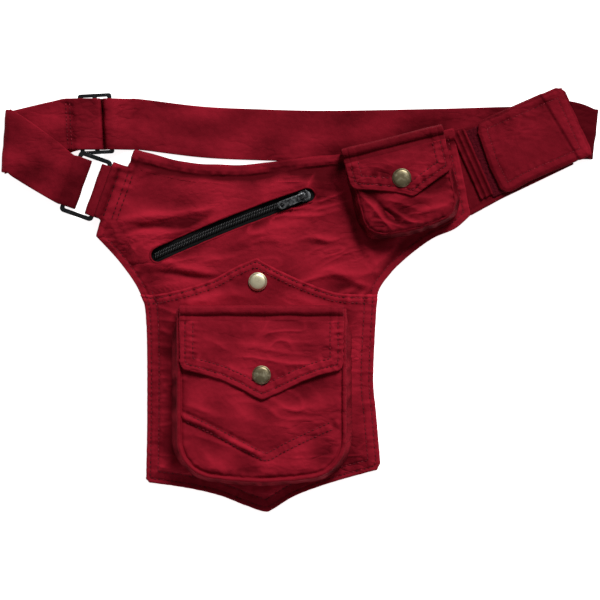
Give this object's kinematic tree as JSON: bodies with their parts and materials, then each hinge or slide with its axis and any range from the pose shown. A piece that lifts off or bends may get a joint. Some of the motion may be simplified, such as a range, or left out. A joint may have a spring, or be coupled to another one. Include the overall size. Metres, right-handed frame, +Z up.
{
  "type": "belt bag",
  "caption": "Flat cotton belt bag with a slanted zip, a bellows pocket, a small tilted pocket and its own adjustable strap, lying on its back.",
  "frame": {"origin": "middle of the footprint on the surface the bag lies on", "axes": "+X to the right along the belt, +Y from the pointed foot to the waist edge, +Z up from the back panel to the front"},
  "size_m": [0.4414, 0.3114, 0.0357],
  "materials": {
    "red_twill": "deep red cotton twill, matte, softly creased",
    "loop_pile": "dark red loop pile of a hook-and-loop closure",
    "zip_tape": "black woven zip tape",
    "zip_chain": "dark grey plastic zip chain",
    "black_metal": "black coated metal, semi gloss",
    "aged_brass": "antique brass, softly brushed"
  },
  "bodies": {
    "bag": {"body_back": "red_twill", "body_front": "red_twill", "patch_pocket": "red_twill", "box_pocket_gusset": "red_twill", "box_pocket_front": "red_twill", "box_pocket_piping": "red_twill", "box_pocket_flap": "red_twill", "small_pocket_gusset": "red_twill", "small_pocket_front": "red_twill", "small_pocket_flap": "red_twill", "ring_tab": "red_twill", "belt_wing": "red_twill", "border_strip": "red_twill", "closure_tab": "red_twill", "strap": "red_twill", "loop_patch": "loop_pile", "zip_tape": "zip_tape", "zip_chain": "zip_chain", "zip_slider": "black_metal", "rect_ring": "black_metal", "strap_slider": "black_metal", "snap_cap_patch": "aged_brass", "snap_cap_box": "aged_brass", "snap_cap_small": "aged_brass"},
    "zip_pull": {"zip_pull": "black_metal"}
  },
  "joints": [
    {"name": "zip_pull_swing", "type": "hinge", "parent": "bag", "child": "zip_pull", "pos_m": [0.00329, 0.07626, 0.01201], "axis": [-0.3697, 0.9291, 0], "range_deg": [0, 150]}
  ]
}
